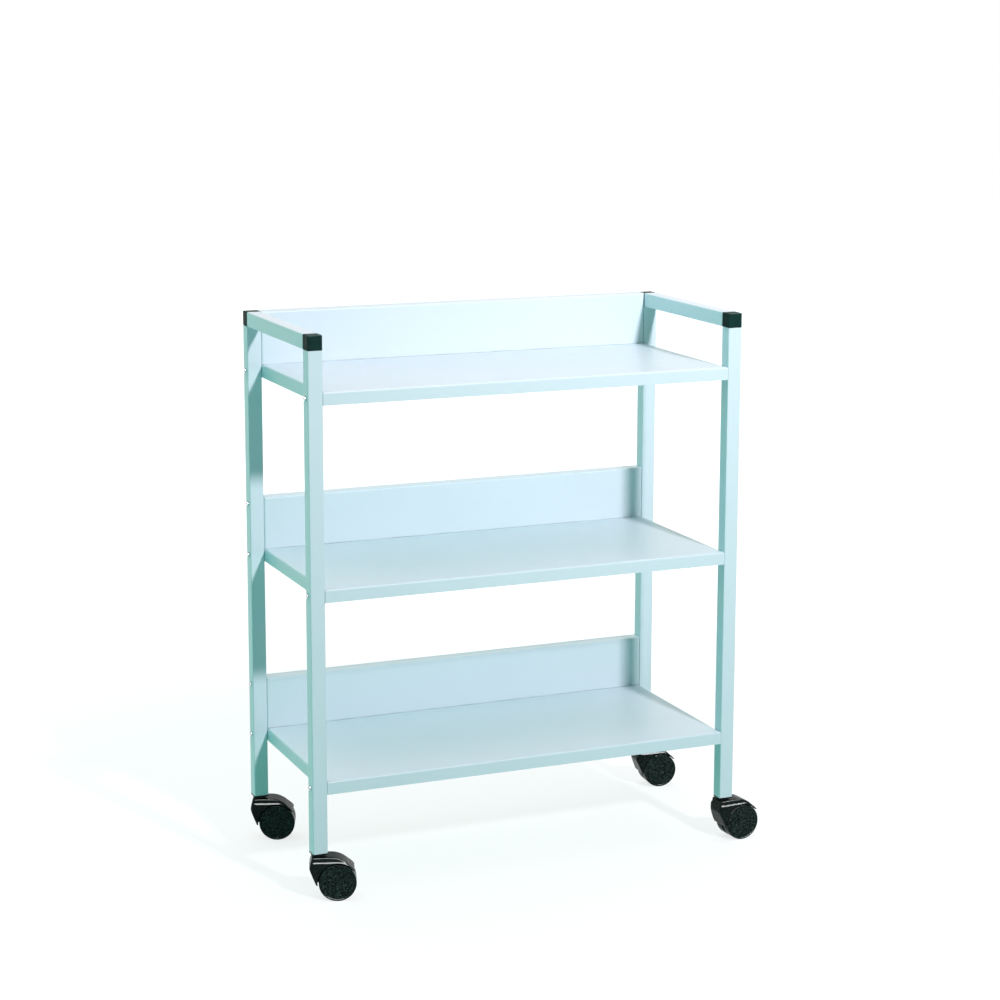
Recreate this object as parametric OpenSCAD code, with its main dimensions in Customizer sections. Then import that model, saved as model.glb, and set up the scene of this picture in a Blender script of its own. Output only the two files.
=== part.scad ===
// Three-tray medical trolley: a square-tube frame with plastic corner joints,
// folded steel trays with upstands at the back, and four hooded twin-wheel casters.
// Millimetres. The origin is on the floor, midway between the four posts.
// +X is to the right, +Y to the back and +Z up, as seen from the front.

/* [Frame] */
// Width over the outer faces of the posts
frame_w = 780; // [500:10:1200]
// Depth over the outer faces of the posts
frame_d = 350; // [260:10:600]
// Outer size of the square tube
tube = 25; // [22:1:36]
// Wall of the square tube
tube_wall = 1.5; // [1:0.1:2]
// Outer corner radius of the square tube
tube_round = 2; // [1.6:0.1:3]

/* [Corner joints] */
// Depth that each leg of a corner joint reaches into its tube
leg_len = 28; // [15:1:40]
// Thickness of the ribs on a leg
leg_rib = 2; // [1:0.5:3]
// Number of ribs along a leg
leg_ribs = 5; // [3:1:7]
// Edge radius of the plastic corner cube
cube_round = 1.6; // [0.8:0.1:3]

/* [Trays] */
// Height of the bottom tray's deck above the floor
deck_low = 202; // [160:2:260]
// Rise from one deck to the next
deck_pitch = 324; // [240:2:400]
// Height of the upstand above its deck
upstand_h = 92; // [60:1:140]
// Height of the folded lip and side folds
lip_h = 22; // [18:1:36]
// Thickness of the sheet steel
sheet = 1.2; // [0.8:0.1:2]
// Outer radius of a bend in the sheet
bend_r = 3; // [2.2:0.1:5]
// Width of the safety fold behind the lip and under the upstand's top fold
hem = 8; // [5:1:12]
// Play between a tray and a post's inner face
tray_play = 0.2; // [0.1:0.05:0.5]

/* [Screws] */
// Thread diameter of a tray screw
screw_d = 5; // [4:0.5:6]
// Head diameter of a tray screw
screw_head_d = 9; // [8:0.5:12]
// Head height of a tray screw
screw_head_h = 2.8; // [2:0.1:4]
// Width of a tray screw's hexagon socket, across corners
socket_key = 3.4; // [2:0.1:4]
// Length of thread that stands past the nut
screw_tail = 2; // [0.5:0.5:4]
// Nut width across its corners
nut_w = 9.2; // [8:0.1:11]
// Nut thickness
nut_t = 4; // [3:0.1:6]
// Drop of the lower screws below the deck
screw_drop = 10; // [8:0.5:13]
// Drop of the upper screws below the upstand's top
upper_drop = 11; // [9:0.5:20]
// Play of a screw in its hole, on the radius
screw_play = 0.25; // [0.1:0.05:0.5]

/* [Casters] */
// Height of the posts' lower ends above the floor
caster_h = 80; // [76:1:110]
// Wheel diameter
wheel_d = 63; // [50:1:66]
// Width over both wheels, between their rim beads
wheel_span = 40; // [34:0.5:46]
// Rise of a wheel's outer face from its edge to its middle
wheel_dome = 0.6; // [0.2:0.1:2]
// Wall of a wheel's rim
rim_wall = 4; // [3:0.5:6]
// Wall of a wheel's face
face_wall = 2.5; // [2:0.5:4]
// Radius of the bead round a wheel's outer face
rim_round = 1.8; // [1:0.1:2.4]
// Number of ribs inside a wheel
wheel_ribs = 6; // [4:1:8]
// Distance from the swivel axis to the axle
trail = 31; // [29:0.5:34]
// Axle diameter
axle_d = 6; // [5:0.5:8]
// Running play in the turning fits, on the radius
turn_play = 0.05; // [0.02:0.01:0.1]
// Side play of a wheel
side_play = 0.5; // [0.3:0.1:1]
// Rest angle of the front left caster, from +X
turn_front_left = -18; // [-180:1:180]
// Rest angle of the front right caster, from +X
turn_front_right = 4; // [-180:1:180]
// Rest angle of the rear left caster, from +X
turn_rear_left = -21; // [-180:1:180]
// Rest angle of the rear right caster, from +X
turn_rear_right = -5; // [-180:1:180]

/* [Caster hood] */
// Width of the hood
hood_w = 42; // [40:0.5:50]
// Width of the hood's raised crown
crown_w = 36; // [30:0.5:40]
// Gap between a wheel's tread and the hood
hood_gap = 1.2; // [1:0.1:3]
// Wall of the hood
hood_wall = 2.5; // [2:0.1:3]
// Reach of the hood in front of the swivel axis
bow_reach = 16; // [15:0.5:20]
// Corner radius of the hood's front, seen from above
bow_round = 11; // [6:0.5:14]
// Height of the crown over the shoulder
crown_rise = 8; // [3:0.1:9]
// Height of the rear edge above the axle
rear_edge = 19; // [10:0.5:22]
// Drop of the front edge below the axle
front_edge = 5; // [0:0.5:6]
// Thickness of the web between the wheels
web_t = 5; // [4:0.5:8]

/* [Caster stem] */
// Diameter of the stem in its socket
stem_d = 11; // [10:0.5:12]
// Length of the stem in its socket
stem_len = 34; // [25:1:45]
// Diameter of the swivel journal in the hood
journal_d = 8; // [6:0.5:9]
// Diameter of the collar over the hood
collar_d = 17; // [15:0.5:20]
// Thickness of the socket's flange under the post
flange_t = 2.5; // [1.5:0.1:4]
// Play of the stem and the grip ring in the socket, on the radius
stem_play = 0.05; // [0.02:0.01:0.1]
// Play of a plastic plug in its tube, on each side
plug_play = 0.1; // [0.05:0.05:0.3]

/* [Hidden] */
$fn = 64;
eps = 0.01;
// Overlap that keeps joined forms and cuts clean
lap = 1;

half_w = frame_w / 2;
half_d = frame_d / 2;
bore = tube - 2 * tube_wall;
plug = bore - 2 * plug_play;
plug_round = 1;
rib_reach = 3;
leg_core = plug - 2 * rib_reach;
inner_w = frame_w - 2 * tube - 2 * tray_play;
deck_z = [deck_low, deck_low + deck_pitch, deck_low + 2 * deck_pitch];
frame_h = deck_z[2] + upstand_h;
back_y = half_d - tube;
post_x = half_w - tube / 2;
post_y = half_d - tube / 2;
screw_hole = screw_d + 2 * screw_play;
grip_len = tube + tray_play + sheet;
screw_len = grip_len + nut_t + screw_tail;

wheel_r = wheel_d / 2;
axle_r = axle_d / 2;
axle_z = wheel_r;
wheel_in = web_t / 2 + side_play;
wheel_out = wheel_span / 2;
axle_room = 2;
axle_len = wheel_span - 2 * (face_wall + axle_room);
hub_wall = 3;
rib_t = 1.6;
bead_end = 150;

well_r = wheel_r + hood_gap;
hood_r = well_r + hood_wall;
shoulder_z = axle_z + hood_r;
crown_z = shoulder_z + crown_rise;
crown_swell = 6;
crown_r = hood_r + crown_swell;
crown_back = 11;
crown_x = trail - crown_back;
bow_lean = 2;
bulge_drop = 12;
bow_bulge_z = shoulder_z - bulge_drop;
skirt_x = trail - hood_r;
skirt_z = axle_z - front_edge;
pocket_reach = 8;
pocket_x = trail - well_r + pocket_reach;
tail_round = 3;
boss_wall = 4.5;
boss_gap = 0.5;
boss_r = journal_d / 2 + boss_wall;
boss_bottom = axle_z + sqrt(pow(well_r + boss_gap, 2) - pow(trail - boss_r, 2));
axle_boss_wall = 4;
axle_boss_r = axle_r + axle_boss_wall;

stem_r = stem_d / 2;
stem_chamfer = 1;
journal_r = journal_d / 2;
journal_tail = 1.5;
flange_z = caster_h - flange_t;
socket_end = 6;
socket_len = stem_len + socket_end;
collar_gap = 0.3;
groove_t = 5;
groove_deep = 1.1;
groove_from_top = 4;
ring_gap = 0.05;
ring_split = 2;
clip_t = 1.2;
clip_rim = 2.5;
clip_d = journal_d + 2 * clip_rim;
clip_groove = 0.8;
clip_clear = 1;
clip_room = clip_t + 3 * clip_clear;
corner_names = ["front_left", "front_right", "rear_left", "rear_right"];
corner_turn = [turn_front_left, turn_front_right, turn_rear_left, turn_rear_right];

powder = "azure";
black = "#1c2220";
steel = "silver";

// Sides of a corner: -1 is left or front, +1 is right or rear
function side_x(corner) = corner % 2 == 0 ? -1 : 1;
function side_y(corner) = corner < 2 ? -1 : 1;

// Square with round corners, centred
module round_square(size, radius) {
    flat = size - 2 * radius;
    square([size, flat], center = true);
    square([flat, size], center = true);
    for (x = [-1, 1], y = [-1, 1])
        translate([x * flat / 2, y * flat / 2]) circle(radius);
}

// Square tube that stands on z = 0
module square_tube(length) {
    linear_extrude(length)
        difference() {
            round_square(tube, tube_round);
            square(bore, center = true);
        }
}

// Puts its children at each screw of a tray on one post, with +X along the screw
module at_post_screws(level, corner) {
    lower = deck_z[level] - screw_drop;
    upper = deck_z[level] + upstand_h - upper_drop;
    heights = corner < 2 || level == 2 ? [lower] : [lower, upper];
    for (z = heights)
        translate([side_x(corner) * half_w, side_y(corner) * post_y, z])
            rotate([0, 0, side_x(corner) < 0 ? 0 : 180])
                children();
}

// Round bar along +X
module bar_x(radius, from, to) {
    translate([from, 0, 0]) rotate([0, 90, 0]) cylinder(r = radius, h = to - from);
}

module post(corner) {
    color(powder)
        difference() {
            translate([side_x(corner) * post_x, side_y(corner) * post_y, caster_h])
                square_tube(frame_h - tube - caster_h);
            for (level = [0:2])
                at_post_screws(level, corner) bar_x(screw_hole / 2, -lap, tube + lap);
        }
}

module rail(side) {
    color(powder)
        translate([side * post_x, -back_y, frame_h - tube / 2])
            rotate([-90, 0, 0])
                square_tube(2 * back_y);
}

// Ribbed leg of a corner joint, rising from z = 0
module joint_leg() {
    rib_step = (leg_len - leg_rib) / leg_ribs;
    linear_extrude(leg_len) round_square(leg_core, plug_round);
    for (i = [1:leg_ribs])
        translate([0, 0, i * rib_step]) linear_extrude(leg_rib) round_square(plug, plug_round);
}

// Plastic cube with one leg down into the post and one into the side rail
module corner_joint(corner) {
    color(black)
        translate([side_x(corner) * post_x, side_y(corner) * post_y, frame_h - tube / 2]) {
            intersection() {
                translate([0, 0, -tube / 2])
                    linear_extrude(tube) round_square(tube, cube_round);
                rotate([90, 0, 0])
                    linear_extrude(tube, center = true) round_square(tube, cube_round);
                rotate([0, 90, 0])
                    linear_extrude(tube, center = true) round_square(tube, cube_round);
            }
            translate([0, 0, -tube / 2]) mirror([0, 0, 1]) joint_leg();
            translate([0, -side_y(corner) * tube / 2, 0])
                rotate([side_y(corner) * 90, 0, 0]) joint_leg();
        }
}

// Distance that a hollow is cut past the open side of its form
function cut_past(inset) = inset > 0 ? lap : 0;

// Section of the tray's pan across its depth: y from the lip, z from the deck.
// The lip's top edge is bent to a radius and the rear edge stays square.
module pan_depth_section(inset) {
    radius = bend_r - inset;
    depth = frame_d - tube;
    drop = lip_h + cut_past(inset);
    translate([inset, -drop]) {
        square([depth, drop - bend_r]);
        translate([radius, 0]) square([depth - radius, drop - inset]);
    }
    translate([bend_r, -bend_r]) circle(radius);
}

// Section of the pan across its width, with both top edges bent to a radius
module pan_width_section(inset) {
    radius = bend_r - inset;
    width = inner_w - 2 * inset;
    drop = lip_h + cut_past(inset);
    translate([-width / 2, -drop]) square([width, drop - bend_r]);
    translate([-width / 2 + radius, -drop]) square([width - 2 * radius, drop - inset]);
    for (x = [-1, 1])
        translate([x * (inner_w / 2 - bend_r), -bend_r]) circle(radius);
}

// The pan's outer form, or with an inset of one sheet the hollow under it
module pan_form(inset) {
    intersection() {
        translate([-frame_w / 2, -half_d, 0])
            rotate([90, 0, 90]) linear_extrude(frame_w) pan_depth_section(inset);
        translate([0, half_d, 0])
            rotate([90, 0, 0]) linear_extrude(frame_d) pan_width_section(inset);
    }
}

// Section of the upstand across its depth, with a bent top front edge
module upstand_depth_section(inset) {
    radius = bend_r - inset;
    back = tube + cut_past(inset);
    translate([inset, -lip_h - lap]) square([back - inset, upstand_h + lip_h + lap - bend_r]);
    translate([bend_r, -lip_h - lap]) square([back - bend_r, upstand_h + lip_h + lap - inset]);
    translate([bend_r, upstand_h - bend_r]) circle(radius);
}

// Section of the upstand seen from above, with both front edges bent
module upstand_plan_section(inset) {
    radius = bend_r - inset;
    width = inner_w - 2 * inset;
    back = tube + cut_past(inset);
    translate([-width / 2, bend_r]) square([width, back - bend_r]);
    translate([-width / 2 + radius, inset]) square([width - 2 * radius, back - inset]);
    for (x = [-1, 1])
        translate([x * (inner_w / 2 - bend_r), bend_r]) circle(radius);
}

module upstand_form(inset) {
    translate([0, back_y, 0])
        intersection() {
            translate([-frame_w / 2, 0, 0])
                rotate([90, 0, 90]) linear_extrude(frame_w) upstand_depth_section(inset);
            translate([0, 0, -lip_h - cut_past(inset)])
                linear_extrude(upstand_h + lip_h + 2 * lap) upstand_plan_section(inset);
        }
}

// Folded sheet: a pan with a lip and side folds, and an upstand whose top and
// side folds turn back along the rear posts
module tray(level) {
    color(powder)
        difference() {
            translate([0, 0, deck_z[level]]) {
                difference() {
                    pan_form(0);
                    pan_form(sheet);
                }
                difference() {
                    upstand_form(0);
                    upstand_form(sheet);
                    translate([-inner_w / 2 + sheet, back_y - lap, -lip_h - lap])
                        cube([inner_w - 2 * sheet, sheet + 2 * lap, lip_h + lap - sheet]);
                }
                translate([-inner_w / 2 + sheet, -half_d + sheet / 2, -lip_h])
                    cube([inner_w - 2 * sheet, hem, sheet]);
                translate([-inner_w / 2 + bend_r, half_d - sheet, upstand_h - hem])
                    cube([inner_w - 2 * bend_r, sheet, hem - sheet / 2]);
            }
            for (corner = [0:3])
                at_post_screws(level, corner)
                    bar_x(screw_hole / 2, tube - lap, grip_len + lap);
        }
}

// Domed screw with a hexagon socket; its head rests on the post
module tray_screw() {
    dome_r = (pow(screw_head_d / 2, 2) + pow(screw_head_h, 2)) / (2 * screw_head_h);
    difference() {
        union() {
            intersection() {
                translate([dome_r - screw_head_h, 0, 0]) sphere(dome_r);
                bar_x(screw_head_d / 2, -screw_head_h - lap, 0);
            }
            bar_x(screw_d / 2, -eps, screw_len);
        }
        translate([-screw_head_h - lap, 0, 0])
            rotate([0, 90, 0]) cylinder(d = socket_key, h = lap + screw_head_h / 2, $fn = 6);
    }
}

module tray_screws(level) {
    color(steel)
        for (corner = [0:3]) at_post_screws(level, corner) tray_screw();
}

module tray_nuts(level) {
    color(steel)
        for (corner = [0:3])
            at_post_screws(level, corner)
                difference() {
                    translate([grip_len, 0, 0])
                        rotate([0, 90, 0]) cylinder(d = nut_w, h = nut_t, $fn = 6);
                    bar_x(screw_d / 2 + turn_play, grip_len - lap, grip_len + nut_t + lap);
                }
}

// Puts its children at a caster's swivel axis on the floor, turned to its rest angle
module at_caster(corner) {
    translate([side_x(corner) * post_x, side_y(corner) * post_y, 0])
        rotate([0, 0, corner_turn[corner]]) children();
}

// Plastic socket pressed into the post, with a flange that closes its end
module socket(corner) {
    color(black)
        translate([side_x(corner) * post_x, side_y(corner) * post_y, 0])
            difference() {
                union() {
                    translate([0, 0, flange_z])
                        linear_extrude(flange_t) round_square(tube, tube_round);
                    translate([0, 0, caster_h - eps])
                        linear_extrude(socket_len) round_square(plug, plug_round);
                }
                translate([0, 0, flange_z - lap])
                    cylinder(r = stem_r + stem_play, h = flange_t + stem_len + 2 * lap);
            }
}

// Steel stem: shank in the socket, collar over the hood, journal in the hood
module stem(corner) {
    top = flange_z + stem_len;
    groove_z = top - groove_from_top - groove_t;
    clip_z = boss_bottom - clip_t - collar_gap;
    color(steel)
        at_caster(corner)
            rotate_extrude()
                polygon([
                    [0, clip_z - journal_tail],
                    [journal_r, clip_z - journal_tail],
                    [journal_r, clip_z],
                    [journal_r - clip_groove, clip_z],
                    [journal_r - clip_groove, boss_bottom - collar_gap],
                    [journal_r, boss_bottom - collar_gap],
                    [journal_r, crown_z + collar_gap],
                    [collar_d / 2, crown_z + collar_gap],
                    [collar_d / 2, flange_z],
                    [stem_r, flange_z],
                    [stem_r, groove_z],
                    [stem_r - groove_deep, groove_z],
                    [stem_r - groove_deep, groove_z + groove_t],
                    [stem_r, groove_z + groove_t],
                    [stem_r, top - stem_chamfer],
                    [stem_r - stem_chamfer, top],
                    [0, top]
                ]);
}

// Split spring ring in the stem's groove that grips the socket
module grip_ring(corner) {
    ring_z = flange_z + stem_len - groove_from_top - groove_t + ring_gap;
    color(steel)
        at_caster(corner)
            translate([0, 0, ring_z])
                difference() {
                    cylinder(r = stem_r + stem_play, h = groove_t - 2 * ring_gap);
                    translate([0, 0, -lap])
                        cylinder(r = stem_r - groove_deep + ring_gap, h = groove_t + 2 * lap);
                    translate([0, -ring_split / 2, -lap])
                        cube([stem_d, ring_split, groove_t + 2 * lap]);
                }
}

// Clip that holds the hood up on the journal
module stem_clip(corner) {
    clip_bore = journal_r - clip_groove + ring_gap;
    color(steel)
        at_caster(corner)
            translate([0, 0, boss_bottom - clip_t - collar_gap + ring_gap])
                difference() {
                    cylinder(d = clip_d, h = clip_t - 2 * ring_gap);
                    translate([0, 0, -lap]) cylinder(r = clip_bore, h = clip_t + 2 * lap);
                    translate([-clip_d, -journal_r / 2, -lap])
                        cube([clip_d, journal_r, clip_t + 2 * lap]);
                }
}

// Side outline of the hood's body: x along the trail, z up, without its crown
module hood_side() {
    difference() {
        union() {
            translate([trail, axle_z]) circle(hood_r);
            polygon([
                [-bow_reach + bow_lean, shoulder_z],
                [trail, shoulder_z],
                [trail, skirt_z],
                [skirt_x, skirt_z],
                [-bow_reach, bow_bulge_z]
            ]);
        }
        translate([trail - 3 * hood_r, skirt_z - 3 * hood_r])
            square([6 * hood_r, 3 * hood_r]);
        translate([trail + axle_boss_r - lap, skirt_z - lap])
            square([2 * hood_r, axle_z + rear_edge - skirt_z + lap]);
    }
}

// Side outline of the raised crown
module crown_side() {
    difference() {
        union() {
            translate([crown_x, crown_z - crown_r]) circle(crown_r);
            polygon([
                [-bow_reach + 2 * bow_lean, crown_z],
                [crown_x, crown_z],
                [crown_x, bow_bulge_z],
                [-bow_reach + bow_lean, bow_bulge_z]
            ]);
        }
        translate([-4 * crown_r, bow_bulge_z + lap - 4 * crown_r])
            square([8 * crown_r, 4 * crown_r]);
    }
}

// Plan of the hood: a round-cornered front and a nearly square tail
module hood_plan(width, front, nose) {
    half = width / 2;
    rear = trail + hood_r + lap;
    translate([front, -half + nose]) square([rear - tail_round - front, width - 2 * nose]);
    translate([front + nose, -half]) square([rear - tail_round - front - nose, width]);
    translate([front + nose, -half + tail_round])
        square([rear - front - nose, width - 2 * tail_round]);
    for (y = [-1, 1]) {
        translate([front + nose, y * (half - nose)]) circle(nose);
        translate([rear - tail_round, y * (half - tail_round)]) circle(tail_round);
    }
}

// Body of the hood with its crown on it, before it is hollowed
module hood_form() {
    intersection() {
        rotate([90, 0, 0]) linear_extrude(2 * hood_w, center = true) hood_side();
        linear_extrude(2 * crown_z) hood_plan(hood_w, -bow_reach - lap, bow_round);
    }
    intersection() {
        rotate([90, 0, 0]) linear_extrude(2 * hood_w, center = true) crown_side();
        linear_extrude(2 * crown_z) hood_plan(crown_w, -bow_reach + bow_lean / 2, bow_round - bow_lean);
    }
}

// Hollow in front of the wheels, open below, that leaves the web and the stem's boss
module bow_pocket() {
    difference() {
        intersection() {
            rotate([90, 0, 0])
                linear_extrude(hood_w, center = true)
                    polygon([
                        [-bow_reach + bow_lean + hood_wall, shoulder_z - hood_wall],
                        [pocket_x, shoulder_z - hood_wall],
                        [pocket_x, skirt_z - lap],
                        [skirt_x + hood_wall, skirt_z - lap],
                        [-bow_reach + hood_wall, bow_bulge_z]
                    ]);
            linear_extrude(crown_z)
                hood_plan(hood_w - 2 * hood_wall, -bow_reach - lap + hood_wall, bow_round - hood_wall);
        }
        translate([-2 * bow_reach, -web_t / 2, 0]) cube([4 * bow_reach, web_t, crown_z]);
        translate([0, 0, boss_bottom]) cylinder(r = boss_r, h = crown_z);
    }
}

// Moulded hood: shell over both wheels, web between them, boss round the stem
module hood(corner) {
    color(black)
        at_caster(corner)
            difference() {
                union() {
                    difference() {
                        hood_form();
                        bow_pocket();
                        for (side = [-1, 1])
                            translate([trail, side * hood_w, axle_z])
                                rotate([90, 0, 0])
                                    cylinder(r = well_r, h = 2 * hood_w - web_t, center = true);
                    }
                    translate([trail, 0, axle_z])
                        rotate([90, 0, 0]) cylinder(r = axle_boss_r, h = web_t, center = true);
                }
                translate([0, 0, boss_bottom - lap])
                    cylinder(r = journal_r + turn_play, h = crown_z);
                translate([0, 0, boss_bottom - clip_room])
                    cylinder(r = clip_d / 2 + clip_clear, h = clip_room);
                translate([trail, 0, axle_z])
                    rotate([90, 0, 0]) cylinder(r = axle_r, h = 2 * web_t, center = true);
            }
}

// Axle pin pressed through the hood's web, with a wheel on each end
module axle(corner) {
    color(steel)
        at_caster(corner)
            translate([trail, 0, axle_z])
                rotate([90, 0, 0]) cylinder(r = axle_r, h = axle_len, center = true);
}

// Points on an arc in the XY plane, from one angle to another
function arc(x, y, radius, from, to, steps) = [
    for (i = [0:steps])
        let (angle = from + (to - from) * i / steps)
            [x + radius * cos(angle), y + radius * sin(angle)]
];

// Moulded wheel: a tread, a bead round its shallow domed face, and a ribbed hollow
// towards the web. It is drawn about +Z with the web side down.
module wheel_body() {
    width = wheel_out - wheel_in;
    hub_r = axle_r + hub_wall;
    blind = axle_len / 2 - wheel_in + side_play;
    bead_r = wheel_r - rim_round;
    bead_z = width - rim_round;
    dome_edge = bead_r + rim_round * cos(bead_end);
    edge_z = bead_z + rim_round * sin(bead_end);
    dome_r = (pow(dome_edge, 2) + pow(wheel_dome, 2)) / (2 * wheel_dome);
    dome_angle = asin(dome_edge / dome_r);
    rotate_extrude($fn = 96)
        polygon(concat(
            [[0, blind], [axle_r + turn_play, blind], [axle_r + turn_play, 0], [hub_r, 0],
             [hub_r, width - face_wall], [wheel_r - rim_wall, width - face_wall],
             [wheel_r - rim_wall, 0], [wheel_r, 0]],
            arc(bead_r, bead_z, rim_round, 0, bead_end, 6),
            arc(0, edge_z + wheel_dome - dome_r, dome_r, 90 - dome_angle, 90, 4)
        ));
    for (i = [0:wheel_ribs - 1])
        rotate([0, 0, (i + 0.5) * 360 / wheel_ribs])
            translate([hub_r - lap, -rib_t / 2, lap])
                cube([wheel_r - rim_wall - hub_r + 2 * lap, rib_t, width - face_wall]);
}

// side is -1 for the wheel nearer the front, +1 for the far one
module wheel(corner, side) {
    color(black)
        at_caster(corner)
            translate([trail, side * wheel_in, axle_z])
                rotate([-90 * side, 0, 0]) wheel_body();
}

for (corner = [0:3]) {
    name = corner_names[corner];
    post(corner);
    corner_joint(corner);
    socket(corner);
    stem(corner);
    grip_ring(corner);
    stem_clip(corner);
    hood(corner);
    axle(corner);
    wheel(corner, -1);
    wheel(corner, 1);
}
rail(-1);  // left_rail
rail(1);  // right_rail
tray(0);  // bottom_tray
tray(1);  // middle_tray
tray(2);  // top_tray
tray_screws(0);  // bottom_tray_screws
tray_screws(1);  // middle_tray_screws
tray_screws(2);  // top_tray_screws
tray_nuts(0);  // bottom_tray_nuts
tray_nuts(1);  // middle_tray_nuts
tray_nuts(2);  // top_tray_nuts
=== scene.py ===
"""A three-tray medical trolley: powder-coated square-tube frame, folded steel trays,
plastic corner joints and hooded twin-wheel casters. Lengths are in metres."""
import math

import bpy
from mathutils import Matrix, Vector


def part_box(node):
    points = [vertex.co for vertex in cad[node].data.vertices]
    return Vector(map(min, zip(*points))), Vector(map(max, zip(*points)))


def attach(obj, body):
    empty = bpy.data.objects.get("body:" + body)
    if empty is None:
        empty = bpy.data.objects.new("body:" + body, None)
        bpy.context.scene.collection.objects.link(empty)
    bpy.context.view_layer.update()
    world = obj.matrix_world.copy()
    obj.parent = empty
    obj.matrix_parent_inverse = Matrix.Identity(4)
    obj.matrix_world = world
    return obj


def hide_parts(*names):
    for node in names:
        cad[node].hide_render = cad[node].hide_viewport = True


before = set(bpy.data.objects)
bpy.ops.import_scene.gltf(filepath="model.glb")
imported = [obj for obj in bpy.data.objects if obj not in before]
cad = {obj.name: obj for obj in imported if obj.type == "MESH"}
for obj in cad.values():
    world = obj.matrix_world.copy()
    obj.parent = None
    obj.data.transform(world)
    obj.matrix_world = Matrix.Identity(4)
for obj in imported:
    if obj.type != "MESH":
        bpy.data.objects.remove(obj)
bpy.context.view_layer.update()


# Posts and side rails
# The frame is 25 mm square steel tube, cut square and joined by plastic corner cubes.
# The tube is powder coated a pale ice blue: a half-gloss skin with a fine orange peel.
mm = 0.001
corners = ["front_left", "front_right", "rear_left", "rear_right"]
powder_light = (0.600, 0.776, 0.810, 1)
powder_deep = (0.590, 0.767, 0.801, 1)
powder_speck = (0.90, 0.95, 0.96, 1)
coat_smooth, coat_rough = 0.30, 0.33
coat_ior, coat_shine = 1.46, 0.35
peel_size, peel_depth = 2.2 * mm, 0.008 * mm
skin_size, skin_depth = 0.45 * mm, 0.002 * mm
tube_scuff = 0.03
# The parts of a noise's range that a pattern uses: its middle, or most of it.
mid_range, wide_range = (0.35, 0.65), (0.3, 0.7)


def add_node(tree, kind, values=(), **settings):
    """Adds a node, sets its settings, then its inputs from (socket, value or link) pairs."""
    node = tree.nodes.new(kind)
    for key, value in settings.items():
        setattr(node, key, value)
    for key, value in values:
        if isinstance(value, bpy.types.NodeSocket):
            tree.links.new(value, node.inputs[key])
        else:
            node.inputs[key].default_value = value
    return node


def maths(tree, kind, *values):
    """One step of arithmetic on two or three values."""
    return add_node(tree, "ShaderNodeMath", list(enumerate(values)), operation=kind).outputs[0]


def noise(tree, place, size, detail=2.0, roughness=0.5):
    """Noise whose features are about size metres wide, as a value from 0 to 1."""
    values = [("Vector", place), ("Scale", 1 / size), ("Detail", detail), ("Roughness", roughness)]
    return add_node(tree, "ShaderNodeTexNoise", values).outputs["Fac"]


def spread(tree, value, low, high, to_low, to_high):
    """Maps a value's range onto another, clamped."""
    values = [("Value", value), ("From Min", low), ("From Max", high)]
    values += [("To Min", to_low), ("To Max", to_high)]
    return add_node(tree, "ShaderNodeMapRange", values).outputs["Result"]


def blend_colour(tree, share, first, second):
    """Mixes two colours by a share from 0 to 1; 6 and 7 are the Mix node's colour inputs."""
    node = add_node(tree, "ShaderNodeMix", [(0, share), (6, first), (7, second)], data_type="RGBA")
    return node.outputs[2]


def bump(tree, height, depth, strength, under=None):
    """Bump of a depth in metres, laid over another bump if one is given."""
    values = [("Height", height), ("Distance", depth), ("Strength", strength)]
    if under is not None:
        values.append(("Normal", under))
    return add_node(tree, "ShaderNodeBump", values).outputs["Normal"]


def start_finish(name):
    """A new material, its node tree, its shader and the object's own coordinates."""
    finish = bpy.data.materials.new(name)
    finish.use_nodes = True
    tree = finish.node_tree
    place = tree.nodes.new("ShaderNodeTexCoord").outputs["Object"]
    return finish, tree, tree.nodes["Principled BSDF"], place


def make_powder_coat(name, scuff):
    """Powder coat with orange peel; scuff is how much duller its rubbed patches are."""
    finish, tree, shader, place = start_finish(name)
    cloudy = spread(tree, noise(tree, place, 90 * mm, 3), *mid_range, 0, 1)
    pigment = spread(tree, noise(tree, place, 0.5 * mm, 2), *wide_range, 0, 0.012)
    colour = blend_colour(tree, cloudy, powder_deep, powder_light)
    colour = blend_colour(tree, pigment, colour, powder_speck)
    tree.links.new(colour, shader.inputs["Base Color"])

    rubbed = spread(tree, noise(tree, place, 38 * mm, 3), 0.45, 0.70, 0, scuff)
    stretched = add_node(tree, "ShaderNodeMapping", [("Vector", place), ("Scale", (0.05, 1, 1))])
    hairline = spread(tree, noise(tree, stretched.outputs[0], 1.3 * mm, 2), 0.66, 0.78, 0, 0.04)
    sheen = spread(tree, noise(tree, place, 14 * mm, 3), *wide_range, coat_smooth, coat_rough)
    rough = maths(tree, "ADD", maths(tree, "ADD", sheen, rubbed), hairline)
    tree.links.new(rough, shader.inputs["Roughness"])
    shader.inputs["IOR"].default_value = coat_ior
    shader.inputs["Specular IOR Level"].default_value = coat_shine

    peel = bump(tree, noise(tree, place, peel_size, 1.5), peel_depth, 0.5)
    skin = bump(tree, noise(tree, place, skin_size, 2), skin_depth, 0.5, under=peel)
    tree.links.new(skin, shader.inputs["Normal"])
    return finish


def dress(node, finish):
    """Gives a CAD node one finish on all of its faces."""
    slots = cad[node].material_slots
    if not slots:
        cad[node].data.materials.append(finish)
    for slot in slots:
        slot.material = finish


tube_coat = make_powder_coat("tube_powder_coat", tube_scuff)
for corner in corners:
    dress(f"{corner}_post", tube_coat)
for side in ("left", "right"):
    dress(f"{side}_rail", tube_coat)


# Trays
# Each tray is one blank of 1.2 mm steel, folded to a lip, side folds and an upstand,
# and coated like the frame. The decks are wiped daily, which leaves faint dull patches.
tray_scuff = 0.05
lip_high = 22 * mm
turned_back = 25 * mm
# A thin line of painted shade darkens the fold between each deck and its upstand.
fold_shade_core, fold_shade_edge = 0.5 * mm, 1.6 * mm
painted_fold_shade = (0.17, 0.24, 0.24, 1)


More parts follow.
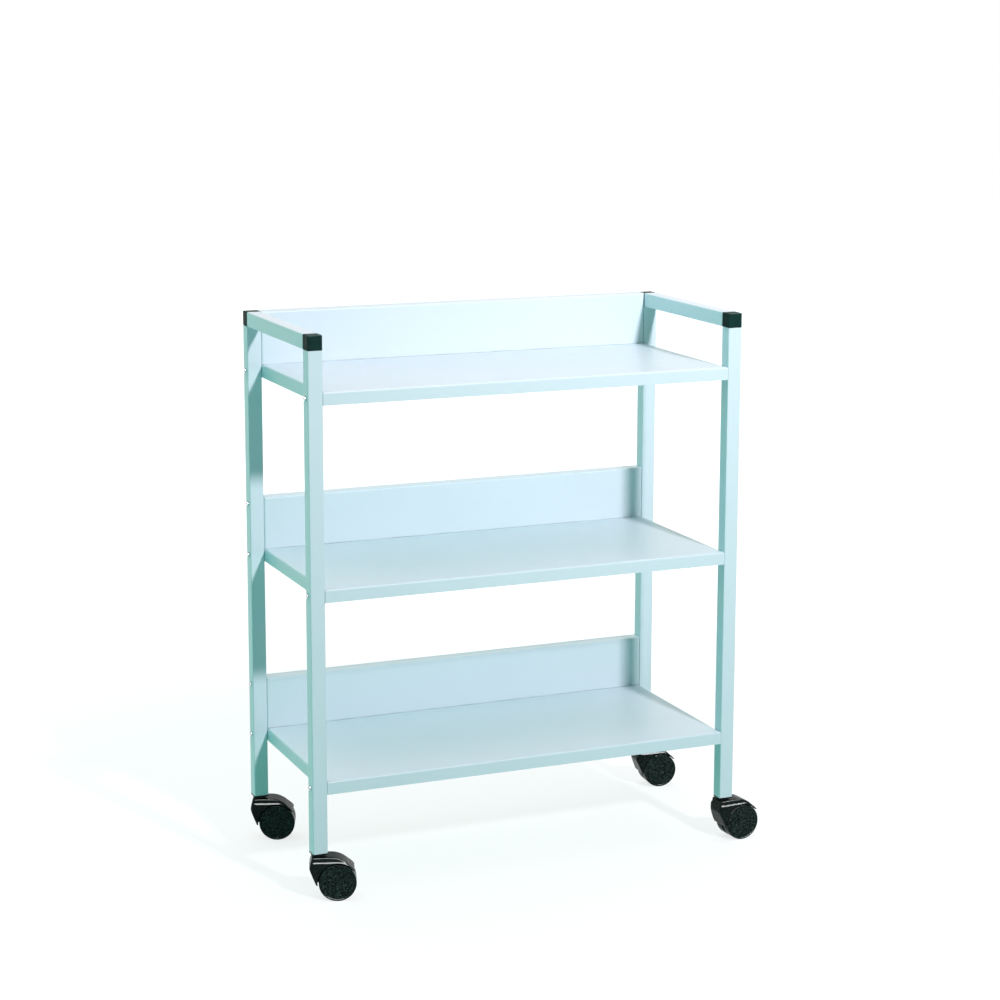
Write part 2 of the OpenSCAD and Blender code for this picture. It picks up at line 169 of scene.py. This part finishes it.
def distance(tree, vector):
    """How far a point is from the origin of its vector."""
    return add_node(tree, "ShaderNodeVectorMath", [(0, vector)], operation="LENGTH").outputs["Value"]


def add_painted_fold_shade(finish, fold_y, fold_z, pitch):
    """Thin grey line of painted shade in the fold between each deck and its upstand."""
    tree = finish.node_tree
    shader = tree.nodes["Principled BSDF"]
    unshaded_colour = shader.inputs["Base Color"].links[0].from_socket
    place = tree.nodes.new("ShaderNodeTexCoord").outputs["Object"]
    axes = add_node(tree, "ShaderNodeSeparateXYZ", [("Vector", place)]).outputs
    off_y = maths(tree, "SUBTRACT", axes["Y"], fold_y)
    off_z = maths(tree, "SUBTRACT", axes["Z"], fold_z)
    off_z = maths(tree, "WRAP", off_z, pitch / 2, -pitch / 2)
    offset = add_node(tree, "ShaderNodeCombineXYZ", [("X", off_y), ("Y", off_z)]).outputs[0]
    # Painted shade: the colour darkens along the crease, most at its core and patchy along its
    # length.
    line = spread(tree, distance(tree, offset), fold_shade_core, fold_shade_edge, 1, 0)
    patchy = spread(tree, noise(tree, place, 30 * mm, 3), *mid_range, 0.25, 0.55)
    fold_shaded = blend_colour(tree, maths(tree, "MULTIPLY", line, patchy), unshaded_colour, painted_fold_shade)
    tree.links.new(fold_shaded, shader.inputs["Base Color"])


deck = {level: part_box(f"{level}_tray")[0][2] + lip_high for level in ("bottom", "middle", "top")}
tray_coat = make_powder_coat("tray_powder_coat", tray_scuff)
# Painted shade along the fold of every tray.
add_painted_fold_shade(tray_coat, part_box("top_tray")[1][1] - turned_back, deck["bottom"],
               deck["middle"] - deck["bottom"])
for level in deck:
    dress(f"{level}_tray", tray_coat)


# Corner joints
# A solid moulded cube closes the meeting of post and rail, with a ribbed leg driven into
# each tube. It is black polyamide with the fine spark-eroded grain of its mould.
plastic_dust = (0.038, 0.064, 0.057, 1)
plastic_fleck = (0.24, 0.29, 0.27, 1)
plastic_ior = 1.5
joint_dark = (0.003, 0.022, 0.019, 1)
joint_light = (0.005, 0.032, 0.027, 1)


def make_moulded(name, dark, light, grain_size, grain_depth, rough, shine, dusty):
    """Black moulded plastic of two shades with a mould grain; dusty is how far dust covers it."""
    finish, tree, shader, place = start_finish(name)
    shade = spread(tree, noise(tree, place, 9 * mm, 4), *mid_range, 0, 1)
    dust = spread(tree, noise(tree, place, 3.2 * mm, 3, 0.6), 0.42, 0.68, 0, dusty)
    fleck = spread(tree, noise(tree, place, 2.6 * mm, 1), 0.68, 0.78, 0, 0.7 * dusty)
    colour = blend_colour(tree, shade, dark, light)
    colour = blend_colour(tree, dust, colour, plastic_dust)
    colour = blend_colour(tree, fleck, colour, plastic_fleck)
    tree.links.new(colour, shader.inputs["Base Color"])

    polish = spread(tree, noise(tree, place, 6 * mm, 3), *wide_range, rough - 0.04, rough + 0.04)
    tree.links.new(polish, shader.inputs["Roughness"])
    shader.inputs["IOR"].default_value = plastic_ior
    shader.inputs["Specular IOR Level"].default_value = shine

    coarse = bump(tree, noise(tree, place, grain_size, 3), grain_depth, 0.6)
    fine = bump(tree, noise(tree, place, grain_size / 3, 2), grain_depth / 3, 0.4, under=coarse)
    tree.links.new(fine, shader.inputs["Normal"])
    return finish


joint_black = make_moulded("joint_polyamide", joint_dark, joint_light, grain_size=0.6 * mm,
                           grain_depth=0.03 * mm, rough=0.42, shine=0.02, dusty=0.03)
for corner in corners:
    dress(f"{corner}_corner", joint_black)


# Tray screws and nuts
# M5 domed screws with a hexagon socket, zinc plated, pass through the post and the tray's
# side fold into nuts inside the fold.
head_wide, head_high, key_wide = 9.0 * mm, 2.8 * mm, 3.4 * mm
screw_long, thread_wide = 32.4 * mm, 5.0 * mm
thread_pitch, thread_long = 0.8 * mm, 12.0 * mm
lower_drop, upper_drop = 10 * mm, 11 * mm
head_sides, head_rings, shank_sides = 40, 24, 24
turn_steps, ridge_sides, ridge_share = 16, 4, 0.45
sharp_edge = math.radians(30)
screw_bright = (0.74, 0.78, 0.80, 1)


def make_plated(name, colour, rough):
    """Plated steel with the crystalline bloom of zinc and fine drawing marks."""
    finish, tree, shader, place = start_finish(name)
    bloom = spread(tree, noise(tree, place, 1.1 * mm, 3), *wide_range, 0, 1)
    darker = tuple(0.82 * channel for channel in colour[:3]) + (1,)
    tree.links.new(blend_colour(tree, bloom, darker, colour), shader.inputs["Base Color"])
    polish = spread(tree, noise(tree, place, 0.6 * mm, 3), *wide_range, rough - 0.06, rough + 0.08)
    tree.links.new(polish, shader.inputs["Roughness"])
    shader.inputs["Metallic"].default_value = 1.0
    drawn = bump(tree, noise(tree, place, 0.3 * mm, 2), 0.006 * mm, 0.5)
    tree.links.new(drawn, shader.inputs["Normal"])
    return finish


def make_screw_group():
    """Node group that puts a domed hexagon-socket screw on every vertex of a mesh."""
    group = bpy.data.node_groups.new("domed_screws", "GeometryNodeTree")
    group.is_modifier = True
    face = group.interface
    face.new_socket("Geometry", in_out="INPUT", socket_type="NodeSocketGeometry")
    for name in ("Head Diameter", "Head Height", "Key Width", "Length", "Thread Diameter",
                 "Thread Pitch", "Thread Length"):
        face.new_socket(name, in_out="INPUT", socket_type="NodeSocketFloat")
    face.new_socket("Material", in_out="INPUT", socket_type="NodeSocketMaterial")
    face.new_socket("Geometry", in_out="OUTPUT", socket_type="NodeSocketGeometry")
    given = group.nodes.new("NodeGroupInput").outputs

    def times(first, second):
        return maths(group, "MULTIPLY", first, second)

    def moved(mesh, **how):
        """The mesh after a Translation or a Rotation."""
        return add_node(group, "GeometryNodeTransform",
                        [("Geometry", mesh)] + list(how.items())).outputs[0]

    def shifted(mesh, x):
        place = add_node(group, "ShaderNodeCombineXYZ", [("X", x)]).outputs[0]
        return moved(mesh, Translation=place)

    def rod(sides, radius, length, x):
        """Cylinder along +X with its middle at x."""
        upright = add_node(group, "GeometryNodeMeshCylinder",
                           [("Vertices", sides), ("Radius", radius), ("Depth", length)])
        return shifted(moved(upright.outputs["Mesh"], Rotation=(0, math.pi / 2, 0)), x)

    def combine(kind, first, second):
        """Cuts the second mesh from the first, or keeps what the two share."""
        node = add_node(group, "GeometryNodeMeshBoolean", operation=kind)
        group.links.new(first, node.inputs["Mesh 1" if kind == "DIFFERENCE" else "Mesh 2"])
        group.links.new(second, node.inputs["Mesh 2"])
        return node.outputs["Mesh"]

    # The head is the cap of a ball, on the post's face and outwards, with the key's socket.
    head_r = times(given["Head Diameter"], 0.5)
    high = given["Head Height"]
    squares = maths(group, "ADD", times(head_r, head_r), times(high, high))
    dome_r = maths(group, "DIVIDE", squares, times(high, 2))
    ball = add_node(group, "GeometryNodeMeshUVSphere",
                    [("Segments", head_sides), ("Rings", head_rings), ("Radius", dome_r)])
    ball = shifted(ball.outputs["Mesh"], maths(group, "SUBTRACT", dome_r, high))
    collar = rod(head_sides, head_r, high, times(high, -0.5))
    head = combine("INTERSECT", ball, collar)
    key = rod(6, times(given["Key Width"], 0.5), high, times(high, -1))
    head = combine("DIFFERENCE", head, key)

    # The shank runs inwards to its full length; a coiled ridge near its end is the thread.
    ridge_r = times(given["Thread Pitch"], ridge_share)
    core_r = maths(group, "SUBTRACT", times(given["Thread Diameter"], 0.5), ridge_r)
    shank = rod(shank_sides, core_r, given["Length"], times(given["Length"], 0.5))
    turns = maths(group, "DIVIDE", given["Thread Length"], given["Thread Pitch"])
    helix = add_node(group, "GeometryNodeCurveSpiral",
                     [("Resolution", turn_steps), ("Rotations", turns), ("Start Radius", core_r),
                      ("End Radius", core_r), ("Height", given["Thread Length"])])
    ridge = add_node(group, "GeometryNodeCurvePrimitiveCircle",
                     [("Resolution", ridge_sides), ("Radius", ridge_r)], mode="RADIUS")
    thread = add_node(group, "GeometryNodeCurveToMesh",
                      [("Curve", helix.outputs["Curve"]), ("Profile Curve", ridge.outputs["Curve"])])
    thread = moved(thread.outputs[0], Rotation=(0, math.pi / 2, 0))
    thread_end = maths(group, "ADD", given["Thread Length"], given["Thread Pitch"])
    thread = shifted(thread, maths(group, "SUBTRACT", given["Length"], thread_end))
    screw = group.nodes.new("GeometryNodeJoinGeometry")
    for piece in (head, shank, thread):
        group.links.new(piece, screw.inputs[0])

    # Screws on the right-hand posts are turned half round, so that every head faces outwards.
    seat = group.nodes.new("GeometryNodeInputPosition").outputs[0]
    seat_x = add_node(group, "ShaderNodeSeparateXYZ", [("Vector", seat)]).outputs["X"]
    half_round = times(maths(group, "GREATER_THAN", seat_x, 0.0), math.pi)
    turn = add_node(group, "ShaderNodeCombineXYZ", [("Z", half_round)]).outputs[0]
    placed = add_node(group, "GeometryNodeInstanceOnPoints",
                      [("Points", given["Geometry"]), ("Instance", screw.outputs[0]),
                       ("Rotation", turn)])
    solid = add_node(group, "GeometryNodeRealizeInstances", [("Geometry", placed.outputs[0])])
    coated = add_node(group, "GeometryNodeSetMaterial",
                      [("Geometry", solid.outputs[0]), ("Material", given["Material"])])
    ending = group.nodes.new("NodeGroupOutput")
    group.links.new(coated.outputs[0], ending.inputs[0])
    return group


def plain_mesh(thing):
    """The mesh of an object with its modifiers applied, which are then removed."""
    graph = bpy.context.evaluated_depsgraph_get()
    mesh = bpy.data.meshes.new_from_object(thing.evaluated_get(graph))
    thing.modifiers.clear()
    thing.data = mesh
    return mesh


def grow(name, seats, group, values):
    """Runs a node group on seat points and returns the result as one plain mesh object."""
    points = bpy.data.meshes.new(name)
    points.from_pydata(seats, [], [])
    grown = bpy.data.objects.new(name, points)
    bpy.context.scene.collection.objects.link(grown)
    maker = grown.modifiers.new("maker", "NODES")
    maker.node_group = group
    for item in group.interface.items_tree:
        if item.in_out == "INPUT" and item.name in values:
            maker[item.identifier] = values[item.name]
    mesh = plain_mesh(grown)
    mesh.name = name
    mesh.set_sharp_from_angle(angle=sharp_edge)
    return grown


screw_zinc = make_plated("screw_zinc", screw_bright, 0.22)
screw_group = make_screw_group()
screw_sizes = {"Head Diameter": head_wide, "Head Height": head_high, "Key Width": key_wide,
               "Length": screw_long, "Thread Diameter": thread_wide, "Thread Pitch": thread_pitch,
               "Thread Length": thread_long, "Material": screw_zinc}
outer_x = -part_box("front_left_post")[0][0]
row_y = {}
for row in ("front", "rear"):
    post_low, post_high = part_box(f"{row}_left_post")
    row_y[row] = (post_low[1] + post_high[1]) / 2
for level in deck:
    rows = {"front": [deck[level] - lower_drop], "rear": [deck[level] - lower_drop]}
    if level != "top":
        rows["rear"].append(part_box(f"{level}_tray")[1][2] - upper_drop)
    seats = [(side * outer_x, row_y[row], height)
             for row, heights in rows.items() for height in heights for side in (-1, 1)]
    screws = grow(f"{level}_screws", seats, screw_group, screw_sizes)
    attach(screws, "frame")
    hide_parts(f"{level}_tray_screws")
    dress(f"{level}_tray_nuts", screw_zinc)


# Casters
# A plastic socket in each post holds the steel stem; the moulded hood swivels on it and
# carries two nylon wheels on a pressed axle. Stem, clips and axle are plated nearly black.
socket_dark, socket_light = (0.003, 0.005, 0.005, 1), (0.005, 0.008, 0.007, 1)
nylon_dark, nylon_light = (0.0015, 0.0045, 0.004, 1), (0.003, 0.008, 0.007, 1)
stem_dark = (0.10, 0.11, 0.11, 1)
mould_voxel, mould_passes = 0.75 * mm, 60


def moulded_copy(node, name):
    """A copy of a CAD node whose edges are rounded, as a mould leaves them."""
    copy = bpy.data.objects.new(name, cad[node].data.copy())
    bpy.context.scene.collection.objects.link(copy)
    skin = copy.modifiers.new("skin", "REMESH")
    skin.mode = "VOXEL"
    skin.voxel_size = mould_voxel
    skin.use_smooth_shade = True
    ease = copy.modifiers.new("ease", "SMOOTH")
    ease.factor = 0.5
    ease.iterations = mould_passes
    plain_mesh(copy).materials.clear()
    return copy


socket_black = make_moulded("socket_polyamide", socket_dark, socket_light, grain_size=0.5 * mm,
                            grain_depth=0.03 * mm, rough=0.40, shine=0.04, dusty=0.05)
hood_black = make_moulded("hood_nylon", nylon_dark, nylon_light, grain_size=0.9 * mm,
                          grain_depth=0.03 * mm, rough=0.22, shine=0.065, dusty=0.25)
wheel_black = make_moulded("wheel_nylon", nylon_dark, nylon_light, grain_size=0.9 * mm,
                           grain_depth=0.04 * mm, rough=0.22, shine=0.045, dusty=0.8)
stem_zinc = make_plated("stem_zinc", stem_dark, 0.24)
hoods = []
for corner in corners:
    dress(f"{corner}_socket", socket_black)
    hood = moulded_copy(f"{corner}_hood", f"{corner}_hood_shell")
    hood.data.materials.append(hood_black)
    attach(hood, f"{corner}_caster")
    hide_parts(f"{corner}_hood")
    hoods.append(hood)
    for side in ("near", "far"):
        dress(f"{corner}_{side}_wheel", wheel_black)
    for part in ("stem", "grip_ring", "stem_clip", "axle"):
        dress(f"{corner}_{part}", stem_zinc)


# Floor
# A plain pale studio floor that runs off into white. To the camera it is nearly white and
# keeps the trolley's soft shadow; the light that it throws back is tinted a pale green.
floor_half = 12.0
floor_bounce = (0.17, 0.58, 0.47, 1)
floor_seen = (0.24, 0.30, 0.30, 1)
floor_rough = 0.9
near_glow, far_glow = 0.76, 1.0
glow_from, glow_to = 0.9, 2.5
white = (1, 1, 1, 1)


def seen_sharply(tree):
    """One for the rays that show the background: the camera's, reflected and refracted ones."""
    paths = tree.nodes.new("ShaderNodeLightPath").outputs
    seen = paths["Is Camera Ray"]
    for ray in ("Is Glossy Ray", "Is Transmission Ray"):
        seen = maths(tree, "MAXIMUM", seen, paths[ray])
    return seen


floor_paint, tree, shader, place = start_finish("floor_paint")
seen = seen_sharply(tree)
tree.links.new(blend_colour(tree, seen, floor_bounce, floor_seen), shader.inputs["Base Color"])
glow = spread(tree, distance(tree, place), glow_from, glow_to, near_glow, far_glow)
tree.links.new(maths(tree, "MULTIPLY", seen, glow), shader.inputs["Emission Strength"])
shader.inputs["Emission Color"].default_value = white
shader.inputs["Roughness"].default_value = floor_rough
shader.inputs["Specular IOR Level"].default_value = 0.0

floor_mesh = bpy.data.meshes.new("studio_floor")
floor_mesh.from_pydata(
    [(x * floor_half, y * floor_half, 0) for x, y in ((-1, -1), (1, -1), (1, 1), (-1, 1))],
    [], [(0, 1, 2, 3)])
floor_mesh.materials.append(floor_paint)
floor = bpy.data.objects.new("studio_floor", floor_mesh)
bpy.context.scene.collection.objects.link(floor)


# Room
# The studio around the floor is plain white to see. Its light is soft: a bright ceiling, a
# green wall on the left, a dim one on the right and a bright one behind the trolley.
ceiling_focus, wall_focus = 6, 2
ceiling_light = (2.07, 1.64, 1.78)
left_light = (0.04, 0.71, 0.63)
right_light = (0.18, 0.16, 0.16)
back_light = (2.00, 1.80, 1.62)


def glow_towards(tree, socket, sign, focus, colour):
    """Soft light of one colour that grows towards one side of the room."""
    facing = maths(tree, "MAXIMUM", maths(tree, "MULTIPLY", socket, sign), 0.0)
    values = [(0, colour), ("Scale", maths(tree, "POWER", facing, focus))]
    return add_node(tree, "ShaderNodeVectorMath", values, operation="SCALE").outputs["Vector"]


world = bpy.data.worlds.new("studio")
bpy.context.scene.world = world
world.use_nodes = True
tree = world.node_tree
around = tree.nodes.new("ShaderNodeTexCoord").outputs["Generated"]
axes = add_node(tree, "ShaderNodeSeparateXYZ", [("Vector", around)]).outputs
room_light = glow_towards(tree, axes["Z"], 1, ceiling_focus, ceiling_light)
for axis, sign, colour in (("X", -1, left_light), ("X", 1, right_light), ("Y", 1, back_light)):
    wall = glow_towards(tree, axes[axis], sign, wall_focus, colour)
    room_light = add_node(tree, "ShaderNodeVectorMath", [(0, room_light), (1, wall)],
                          operation="ADD").outputs["Vector"]
backdrop = add_node(tree, "ShaderNodeBackground", [("Color", white), ("Strength", 1.0)])
fill = add_node(tree, "ShaderNodeBackground", [("Color", room_light), ("Strength", 1.0)])
chosen = add_node(tree, "ShaderNodeMixShader",
                  [(0, seen_sharply(tree)), (1, fill.outputs[0]), (2, backdrop.outputs[0])])
tree.links.new(chosen.outputs[0], tree.nodes["World Output"].inputs["Surface"])


# Key lamp
# It stands in front, to the right and above, small enough to draw the shadow of the front
# right post on the trays. The room's ceiling and walls are the soft fill.
key_place = Vector((0.772, -4.075, 2.954))
key_aim = Vector((0.35, 0, 1.15))
key_disc, key_spread = 0.36, math.radians(62)
key_watts = 28.5
key_colour = (0.970, 0.785, 0.865)


def hang_lamp(name, place, turn, watts, **settings):
    """Hangs an area lamp that the camera doesn't see."""
    data = bpy.data.lights.new(name, "AREA")
    data.energy = watts
    for key, value in settings.items():
        setattr(data, key, value)
    lamp = bpy.data.objects.new(name, data)
    lamp.matrix_world = Matrix.Translation(place) @ turn
    lamp.visible_camera = False
    bpy.context.scene.collection.objects.link(lamp)
    return lamp


key_turn = (key_aim - key_place).to_track_quat("-Z", "Y").to_matrix().to_4x4()
hang_lamp("key_lamp", key_place, key_turn, key_watts,
          shape="DISK", size=key_disc, spread=key_spread, color=key_colour)


# Edge lamp
# A long soft box in front of the trolley only draws highlights on the rounded edges of the
# black mouldings: it adds no diffuse light, and the coated steel is left out of its reach.
edge_place = Vector((0.2, -1.4, 2.8))
edge_aim = Vector((0, 0, 0.1))
edge_wide, edge_deep = 5.2, 1.6
edge_watts = 2800

edge_tilt = math.atan2(edge_aim.y - edge_place.y, edge_place.z - edge_aim.z)
edge_lamp = hang_lamp("edge_lamp", edge_place, Matrix.Rotation(edge_tilt, 4, "X"), edge_watts,
                      shape="RECTANGLE", size=edge_wide, size_y=edge_deep)
edge_lamp.visible_diffuse = False
black_pieces = bpy.data.collections.new("black_pieces")
for piece in hoods + [cad[f"{corner}_{part}"] for corner in corners
                      for part in ("near_wheel", "far_wheel", "socket", "corner")]:
    black_pieces.objects.link(piece)
edge_lamp.light_linking.receiver_collection = black_pieces


# Camera
# It stands at the photographer's place in front, to the left and a little above the top tray.
camera_place = Vector((-1.5775, -3.7623, 1.4493))
camera_yaw = math.radians(22.95)
camera_pitch = math.radians(10.386)
camera_roll = math.radians(0.133)
camera_lens, film_wide, film_shift = 86.37, 36.0, -0.05
sight_far = 60.0

camera_data = bpy.data.cameras.new("camera")
camera_data.lens = camera_lens
camera_data.sensor_width = film_wide
camera_data.shift_y = film_shift
camera_data.clip_end = sight_far
camera = bpy.data.objects.new("camera", camera_data)
camera.matrix_world = (Matrix.Translation(camera_place)
                       @ Matrix.Rotation(-camera_yaw, 4, "Z")
                       @ Matrix.Rotation(math.pi / 2 - camera_pitch, 4, "X")
                       @ Matrix.Rotation(camera_roll, 4, "Z"))
bpy.context.scene.collection.objects.link(camera)
bpy.context.scene.camera = camera
bpy.context.scene.view_settings.view_transform = "Standard"
